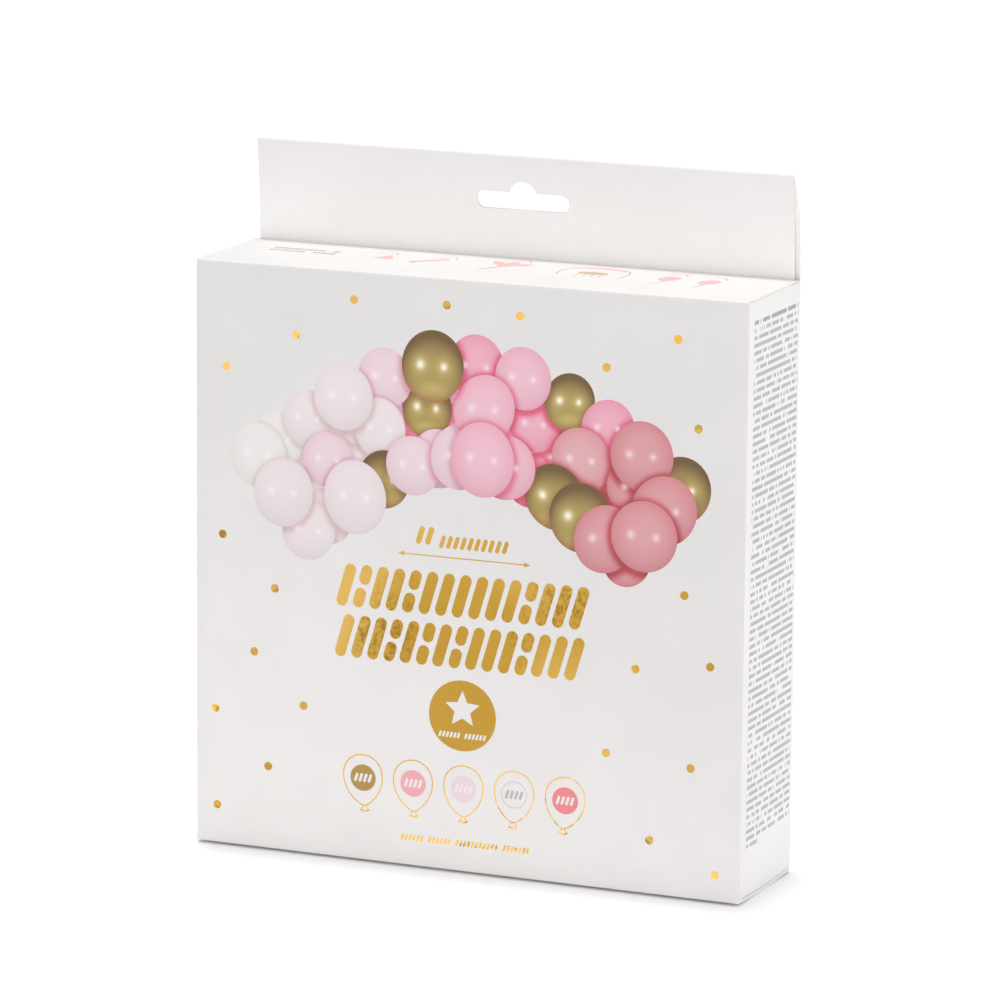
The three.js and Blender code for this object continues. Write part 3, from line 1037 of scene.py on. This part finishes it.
def back_and_tab(sheet, inward):
    """Fold the back panel as a wall up to the lid's level, and follow the tab's own path from there on."""
    round_, up = sheet.T
    wall = walls(np.c_[round_, np.minimum(up, HEIGHT)], inward)
    path, normal = bend(up - HEIGHT, (BACK, HEIGHT), math.pi / 2, TAB_LEGS)
    path = path - normal * inward
    tab = np.c_[BACK_MIDDLE - round_, path]
    return np.where((up >= HEIGHT)[:, None], tab, wall)


def slot_outline(level, way):
    """The hang slot: a bar with round ends, and an arc for the hump above it. `way` -1 turns it over."""
    end, foot = SLOT["height"] / 2, SLOT["hump_width"] / 2
    run = SLOT["width"] / 2 - end
    radius = (foot**2 + SLOT["hump_rise"] ** 2) / (2 * SLOT["hump_rise"])
    middle = end + SLOT["hump_rise"] - radius
    lean = math.atan2(end - middle, foot)
    turn = np.linspace(-np.pi / 2, np.pi / 2, 13)
    hump = np.linspace(lean, np.pi - lean, 17)
    loop = np.vstack([np.c_[run + end * np.cos(turn), end * np.sin(turn)],
                      np.c_[radius * np.cos(hump), middle + radius * np.sin(hump)],
                      np.c_[-run - end * np.cos(turn), -end * np.sin(turn)]])
    return Patch(np.array([BACK_MIDDLE, level]) + loop * (1, way), HOLE)


print("the tab takes %.1f mm of board, there and back" % (TAB_END - HEIGHT))


# %% Fold the back panel and tab
def back_outline():
    """The back panel's outline, with the tab and its narrower front ply. Below the fold, the back ply's
    half-width is tab - (tab - ply) s^2, where s goes from 0 to 1. The carton's left comes first here."""
    wide, s = FLAT_FRONT + ARC + LAP_OVER, np.linspace(0, 1, 9)
    root = [(FLAT_FRONT, FOOT), (FLAT_FRONT, BOARD), (wide, BOARD), (wide, WALL_TOP)]
    halves = []
    for tab, ply in ((TAB_LEFT, PLY_LEFT), (TAB_RIGHT, PLY_RIGHT)):
        taper = np.c_[tab - (tab - ply) * s**2, TAB_FOLD - TAPER * (1 - s)]
        halves.append(np.vstack([root, [(tab, WALL_TOP)], taper, [(ply, TAB_END)]]))
    return np.vstack([halves[0], halves[1][::-1] * (-1, 1)]) + (BACK_MIDDLE, 0)


tab_levels = np.r_[HEIGHT, HEIGHT + 1, np.arange(HEIGHT + 5, TAB_FOLD, 5),
                   np.linspace(TAB_FOLD, TAB_OVER, 9), np.arange(TAB_OVER + 5, TAB_END, 5)]
tab_lines = [((BACK_MIDDLE - SIDE, z), (BACK_MIDDLE + SIDE, z)) for z in tab_levels]
back_lines = fold_lines([BACK_MIDDLE + at for at in front_folds], BOARD, WALL_TOP) + tab_lines
# The front ply takes the tab's finish, with its painted light and shade.
front_ply = Patch(rectangle((BACK_MIDDLE - SIDE, TAB_FOLD), (BACK_MIDDLE + SIDE, TAB_END + 1)), "tab")
slots = [slot_outline(HEIGHT + SLOT["above"], 1),
         slot_outline(TAB_FOLD + TAB_OVER - HEIGHT - SLOT["above"], -1)]
BACK_DOTS = [(-82, 96), (-50, 60), (-71, 24), (-22, 34), (12, 70), (34, 22), (60, 58), (83, 92),
             (80, 18)]
back_text = text_block(BACK_MIDDLE, -78, -8, **BACK_TEXT) + text_block(BACK_MIDDLE, 8, 78, **BACK_TEXT)
back_dots = [Patch(disc((BACK_MIDDLE + x, z), DOT_RADIUS, 24), "foil") for x, z in BACK_DOTS]
back_folds = [(0, BACK_MIDDLE + FLAT_FRONT + ARC / 2), (0, BACK_MIDDLE - FLAT_FRONT - ARC / 2), (1, 0.0),
              (1, (TAB_FOLD + TAB_OVER) / 2)]
back_panel = fold_board("back_panel_and_tab", back_outline(), back_and_tab,
                        [front_ply] + back_text + back_dots + slots, lines=back_lines, folds=back_folds)

# %% [markdown]
# ## The bottom and the dust flaps
# The bottom is a shallow tray in section: it folds under from the front panel, crosses the floor and
# folds up the back. A second, flat layer is glued on top of it, so the cut edges show at the sides as
# a double thickness. The flaps fold in from the side walls, under the lid and over the bottom, and
# taper towards their tips. One function makes all four, because they differ only in their side, their
# level and the way they turn.


# %% Fold the bottom panel
def bottom(sheet, inward):
    """Carry the tray's profile along x: sheet points are (distance along the profile, x)."""
    legs = [(FOOT - TIGHT, 0), corner(TIGHT), (DEPTH - 2 * TIGHT, 0), corner(TIGHT), (FOOT - TIGHT, 0)]
    point, normal = bend(sheet[:, 0], (FRONT, FOOT), -math.pi / 2, legs)
    lift = sag(point[:, 0], point[:, 1])
    point = point - normal * inward
    return np.c_[sheet[:, 1], point[:, 0], point[:, 1] + lift]


TURN = corner(TIGHT)[0]
BOTTOM_RUN = 2 * (FOOT - TIGHT + TURN) + DEPTH - 2 * TIGHT
front_turn = FOOT - TIGHT + np.linspace(0, TURN, 5)
bottom_steps = np.r_[front_turn, BOTTOM_RUN - front_turn]
near, far = front_turn[-1], BOTTOM_RUN - front_turn[-1]
ends = SIDE - 0.1  # a hair inside the side walls
bottom_half = [(0, FLAT_FRONT), (near, FLAT_FRONT), (near, ends), (far, ends), (far, FLAT_FRONT),
               (BOTTOM_RUN, FLAT_FRONT)]
bottom_turn = FOOT - TIGHT + TURN / 2
# The bottom's crease carries the front's ground, with its painted shade.
bottom_ground = Patch(rectangle((-1, -SIDE), (bottom_turn, SIDE)), "ground")
bottom_panel = fold_board("bottom_panel", mirrored(bottom_half), bottom, [bottom_ground],
                          lines=fold_lines(bottom_steps, -FLAT_FRONT, FLAT_FRONT),
                          folds=[(0, bottom_turn), (0, BOTTOM_RUN - bottom_turn)])


# %% Lay the inner bottom flap
def inner_bottom(sheet, inward):
    """A flat layer on top of the bottom panel, which follows its bulge. Sheet points are (y, x)."""
    return np.c_[sheet[:, 1], sheet[:, 0], BOARD + sag(sheet[:, 0], BOARD) + inward]


inner_depth, inner_half = DEPTH / 2 - 1.2, SIDE - 0.25
inner_outline = rectangle((-inner_depth, -inner_half), (inner_depth, inner_half))
inner_bottom_flap = fold_board("bottom_inner_flap", inner_outline, inner_bottom)


# %% Fold the dust flaps
NIP_TURN = corner(NIP)[0]


def flap_outline(root):
    """A dust flap: straight over its crease, then tapered to a tip with round corners."""
    bent = FOOT - NIP + NIP_TURN
    tip = bent + DUST["reach"]
    turn = np.linspace(0, np.pi / 2, 6)
    r, taper = DUST["corner"], DUST["taper"]
    start = [(0, root[0]), (0, root[1]), (bent, root[1])]
    far_corner = np.c_[tip - r + r * np.sin(turn), root[1] - taper - r + r * np.cos(turn)]
    near_corner = np.c_[tip - r + r * np.cos(turn), root[0] + taper + r - r * np.sin(turn)]
    return np.vstack([start, far_corner, near_corner, [(bent, root[0])]])


def dust_flap(name, end, start_level, turn, root):
    """Fold a flap in from the right wall (end 1) or the left one (end -1): sheet points are (distance, y).
    `turn` is its heading along the wall, up or down, and its crease turns it as far again, to lie flat."""
    legs = [(FOOT - NIP, 0), corner(NIP, turn), (DUST["reach"] + NIP_TURN, 0)]

    def place(sheet, inward):
        point, normal = bend(sheet[:, 0], (SIDE, start_level), turn, legs, 1 if turn > 0 else -1)
        lift = sag(sheet[:, 1], point[:, 1])
        point = point - normal * inward
        return np.c_[end * point[:, 0], sheet[:, 1], point[:, 1] + lift]

    lines = fold_lines(FOOT - NIP + np.linspace(0, NIP_TURN, 5), *root)
    folds = [(0, FOOT - NIP + NIP_TURN / 2)]
    return fold_board(name, flap_outline(root), place, lines=lines, folds=folds)


upper_root = (FRONT + DUST["front"], BACK - DUST["back"])
lower_root = (FRONT + CREASE + LAP_OVER + FLAP_INSET, BACK - CREASE - LAP_OVER - FLAP_INSET)
flaps = []
for side_name, end in (("right", 1), ("left", -1)):
    flaps.append(dust_flap("dust_flap_" + side_name, end, WALL_TOP - FOOT, math.pi / 2, upper_root))
    flaps.append(dust_flap("bottom_flap_" + side_name, end, WALL_FOOT + FOOT, -math.pi / 2, lower_root))

# %% [markdown]
# ## The lid
# The lid is creased to the front panel and tucks in at the back. The crease is its own narrow strip,
# which rides on neither body. On top are small printed signs: two rows of fine strokes and six little
# drawings in pink and gold.

# %% Lid print
PINK, COPPER, FAINT = linear(243, 188, 187), linear(216, 182, 144), linear(176, 170, 168)
SIGN_ROW = 31.5  # distance back from the front edge
LID_TEXT = {"left": -85.5, "right": -61.5, "tall": 2.3, "bold": 0.45}
LID_TEXT_ROWS = (27.1, 31.5)


def blob(x, v, long, thick, angle, ink=PINK):
    """A soft blob of colour: an ellipse turned by an angle."""
    a = np.linspace(0, 2 * np.pi, 32, endpoint=False)
    return Patch(np.array([x, v]) + turned(np.c_[long * np.cos(a), thick * np.sin(a)], angle), "ink", ink)


def thread(points, ink=FAINT, thickness=0.5):
    """A thin line along the polynomial curve that runs through a few points at even steps."""
    points = np.array(points, float)
    t = np.linspace(0, 1, len(points))
    fine = np.linspace(0, 1, 16)
    curve = [np.polyval(np.polyfit(t, axis, len(points) - 1), fine) for axis in points.T]
    return Patch(ribbon(np.stack(curve, 1), thickness), "ink", ink)


def cord(x, v):
    """A curl of cord over a drawing."""
    return thread([(x - 4, v), (x, v + 3.5), (x + 3, v - 1)], PINK, 0.8)


def pennant_sign(x, v):
    """A small drawing of a pennant."""
    flag = Patch(np.array([(x - 4, v - 4), (x + 4, v - 4.5), (x + 0.5, v + 3.5)]), "ink", PINK)
    return [flag, cord(x - 1, v + 5)]


def stick_sign(x, v):
    """A small drawing of a stick with a knob."""
    stick = Patch(stroke((x - 4.5, v - 5), (x + 3.5, v + 3), 2.8), "ink", PINK)
    return [stick, blob(x - 5, v - 5.5, 1.5, 1.5, 0, COPPER), cord(x + 4, v + 5)]


def tuft_sign(x, v):
    """A small drawing of a tuft: three leaves on a stem."""
    stem = thread([(x - 5, v - 10), (x - 2, v - 5), (x, v)], COPPER, 1.3)
    leaves = [blob(x + k, v + 3, 6.0, 2.0, 1.5 - 0.28 * k) for k in (-2.5, 0.5, 3.5)]
    return [stem] + leaves + [cord(x + 3, v + 10)]


def arch_sign(x, v):
    """A small drawing of a table under an arch: a pink band on two posts, a copper dome and its legs."""
    t = np.linspace(-1, 1, 24)
    band = Patch(ribbon(np.c_[x + 10 * t, v + 9 - 2.5 * t**2], 2.2), "ink", PINK)
    posts = [thread([(x + 10 * k, v + 7), (x + 12 * k, v), (x + 11 * k, v - 7)]) for k in (1, -1)]
    legs = [thread([(x + k, v - 2), (x + k, v - 5), (x + k, v - 8)]) for k in (-4, -1.3, 1.3, 4)]
    return [band] + posts + legs + [blob(x, v - 1, 5.5, 2.6, 0, COPPER)]


def tied_sign(x, v):
    """A small drawing of one tied balloon: a string, a round blob and a curl of cord."""
    string = thread([(x - 2.5, v - 11), (x - 0.5, v - 8), (x, v - 4)], FAINT, 0.6)
    return [string, blob(x, v, 4.8, 3.3, 1.2), cord(x + 1, v + 7)]


SIGNS = [(pennant_sign, -43), (stick_sign, -26), (tuft_sign, 0), (arch_sign, 33), (tied_sign, 60)]
signs = [patch for sign, x in SIGNS for patch in sign(x, SIGN_ROW)] + tied_sign(74.5, SIGN_ROW - 1)
for level in LID_TEXT_ROWS:
    signs += text_row(level=level, ink=TEXT_GREY, **LID_TEXT)
lid_print = [patch._replace(points=patch.points[:, ::-1]) for patch in signs]
print("lid patches", len(lid_print))

# %% Fold the lid
TUCK_RADIUS, TUCK_DROP = lid_high.y / MM - FRONT, HEIGHT - lid_low.z / MM
TUCK_CORNER, TUCK_INSET = 8.0, 2.0
LID_HALF = SIDE - 0.15
TOP_RUN = TUCK_RADIUS - NIP  # from the front edge to where the tuck's crease begins
LID_RUN = TOP_RUN + NIP_TURN + TUCK_DROP - NIP


def lid(sheet, inward):
    """The lid's profile: flat, over the back crease, then down an arc about the lid's own hinge line. Sheet
    points are (distance back from the front edge, x)."""
    legs = [(TOP_RUN, 0), corner(NIP, -math.pi / 2), (TUCK_DROP, -TUCK_DROP / TUCK_RADIUS)]
    return along_x(sheet, inward, (FRONT, HEIGHT), 0.0, legs, -1)


def lid_outline():
    """The top panel, and a tuck that is a little narrower, with round corners at its tip."""
    tuck_half, bent = LID_HALF - TUCK_INSET, TOP_RUN + NIP_TURN
    turn, r = np.linspace(0, np.pi / 2, 9), TUCK_CORNER
    tip = np.c_[LID_RUN - r + r * np.sin(turn), tuck_half - r + r * np.cos(turn)]
    return mirrored(np.vstack([[(LID_LAP, LID_HALF), (TOP_RUN, LID_HALF), (bent, tuck_half)], tip]))


lid_steps = np.r_[TOP_RUN + np.linspace(0, NIP_TURN, 5), TOP_RUN + NIP_TURN + np.array([4.0, 8.0])]
# The lid is lid board, painted a shade darker than the walls.
lid_panel = fold_board("lid_panel", lid_outline(), lid, lid_print,
                       lines=fold_lines(lid_steps, TUCK_INSET - LID_HALF, LID_HALF - TUCK_INSET),
                       folds=[(0, 0.0), (0, TOP_RUN + NIP_TURN / 2)], coat="lid")


# %% Fold the lid's crease strip
SOFT = 1.0  # outer radius of the lid's crease
SOFT_ARC = corner(SOFT)[0]
STRIP_RUN = 2 * (LID_LAP - SOFT) + SOFT_ARC


def lid_crease(sheet, inward):
    """Up the front wall, over the crease and back over the lid. Sheet points are (distance along, x)."""
    legs = [(LID_LAP - SOFT, 0), corner(SOFT, -math.pi / 2), (LID_LAP - SOFT, 0)]
    return along_x(sheet, inward, (FRONT, HEIGHT - LID_LAP), math.pi / 2, legs, -1)


strip_half = [(0, FLAT_FRONT), (LID_LAP - SOFT, FLAT_FRONT), (STRIP_RUN - LID_LAP + SOFT, LID_HALF),
              (STRIP_RUN, LID_HALF)]
strip_steps = LID_LAP - SOFT + np.linspace(0, SOFT_ARC, 9)[1:-1]
strip_turn = LID_LAP - SOFT + SOFT_ARC / 2
# The strip's lower half carries the front's ground with its painted shade; the rest is the lid board,
# painted a shade darker.
strip_ground = Patch(rectangle((-1, -SIDE), (strip_turn, SIDE)), "ground")
lid_strip = fold_board("lid_crease", mirrored(strip_half), lid_crease, [strip_ground],
                       lines=fold_lines(strip_steps, -FLAT_FRONT, FLAT_FRONT), folds=[(0, strip_turn)],
                       coat="lid")

# %% [markdown]
# ## Riding on the frame
# Every piece but the lid's crease strip rides on a body of the imported model: the walls, bottom and
# flaps on the carton, the lid on the lid. Placing them by hand would do for one pose, but riding on a
# body works at all of them. The crease strip is left in place, on neither body.

# %% Ride and replace
carton_pieces = [front_panel, right_panel, left_panel, back_panel, bottom_panel, inner_bottom_flap] + flaps
for piece in carton_pieces:
    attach(piece, "carton")
    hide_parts("carton_body")
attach(lid_panel, "lid")
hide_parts("lid_flap")
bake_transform(lid_strip)
print(len(carton_pieces), "pieces on the carton, one on the lid and one blended between them")

# %% [markdown]
# ## Floor and light
# The carton stands on a white floor. One light nearly overhead makes the lid the brightest face and
# drops a narrow shadow in front of the lifted lower edge; two softboxes, low in front and at the
# right, keep the upright faces pale. A picture of a studio could light it all at once, but lamps are
# easier to understand and to change.


# %% Stage
FLOOR_HALF, FLOOR_LEVEL = 12.0, -0.00005  # metres


def add_floor():
    """A large white floor with a faint mottle."""
    mesh = bpy.data.meshes.new("floor")
    corners = rectangle((-FLOOR_HALF, -FLOOR_HALF), (FLOOR_HALF, FLOOR_HALF))
    mesh.from_pydata(np.c_[corners, np.full(4, FLOOR_LEVEL)].tolist(), [], [(0, 1, 2, 3)])
    material, tree, shader = new_finish("white floor")
    tone = ranged(tree, noise(tree, 6.0, 2.0), 0.3, 0.7, 0.95, 0.965)
    tree.links.new(grey(tree, tone), shader.inputs["Base Color"])
    shader.inputs["Roughness"].default_value = 0.9
    mesh.materials.append(material)
    floor = bpy.data.objects.new("floor", mesh)
    bpy.context.scene.collection.objects.link(floor)


def add_lamp(name, kind, energy, at, towards, **settings):
    """A lamp at a point, turned so that its light travels along `towards`. The camera doesn't see it."""
    data = bpy.data.lights.new(name, kind)
    data.energy = energy
    for option, value in settings.items():
        setattr(data, option, value)
    lamp = bpy.data.objects.new(name, data)
    lamp.location = at
    lamp.rotation_mode = "QUATERNION"
    lamp.rotation_quaternion = Vector(towards).to_track_quat("-Z", "Y")
    lamp.visible_camera = False
    bpy.context.scene.collection.objects.link(lamp)


add_floor()
world = bpy.data.worlds.new("studio")
world.use_nodes = True
world.node_tree.nodes["Background"].inputs["Color"].default_value = (1.0, 1.0, 1.0, 1.0)
world.node_tree.nodes["Background"].inputs["Strength"].default_value = 0.63
bpy.context.scene.world = world
add_lamp("overhead light", "SUN", 1.46, (0, 0, 2), (0.03, -0.03, -1.0), angle=math.radians(8))
add_lamp("front softbox", "AREA", 10.7, (0.2, -2.5, 0.45), (-0.2, 2.5, -0.33),
         shape="RECTANGLE", size=2.0, size_y=1.0)
add_lamp("right softbox", "AREA", 3.2, (1.6, 0.1, 0.5), (-1.6, -0.1, -0.38),
         shape="RECTANGLE", size=1.2, size_y=1.0)
bpy.context.scene.view_settings.view_transform = "Standard"
print("lamps", sorted(lamp.name for lamp in bpy.data.lights))
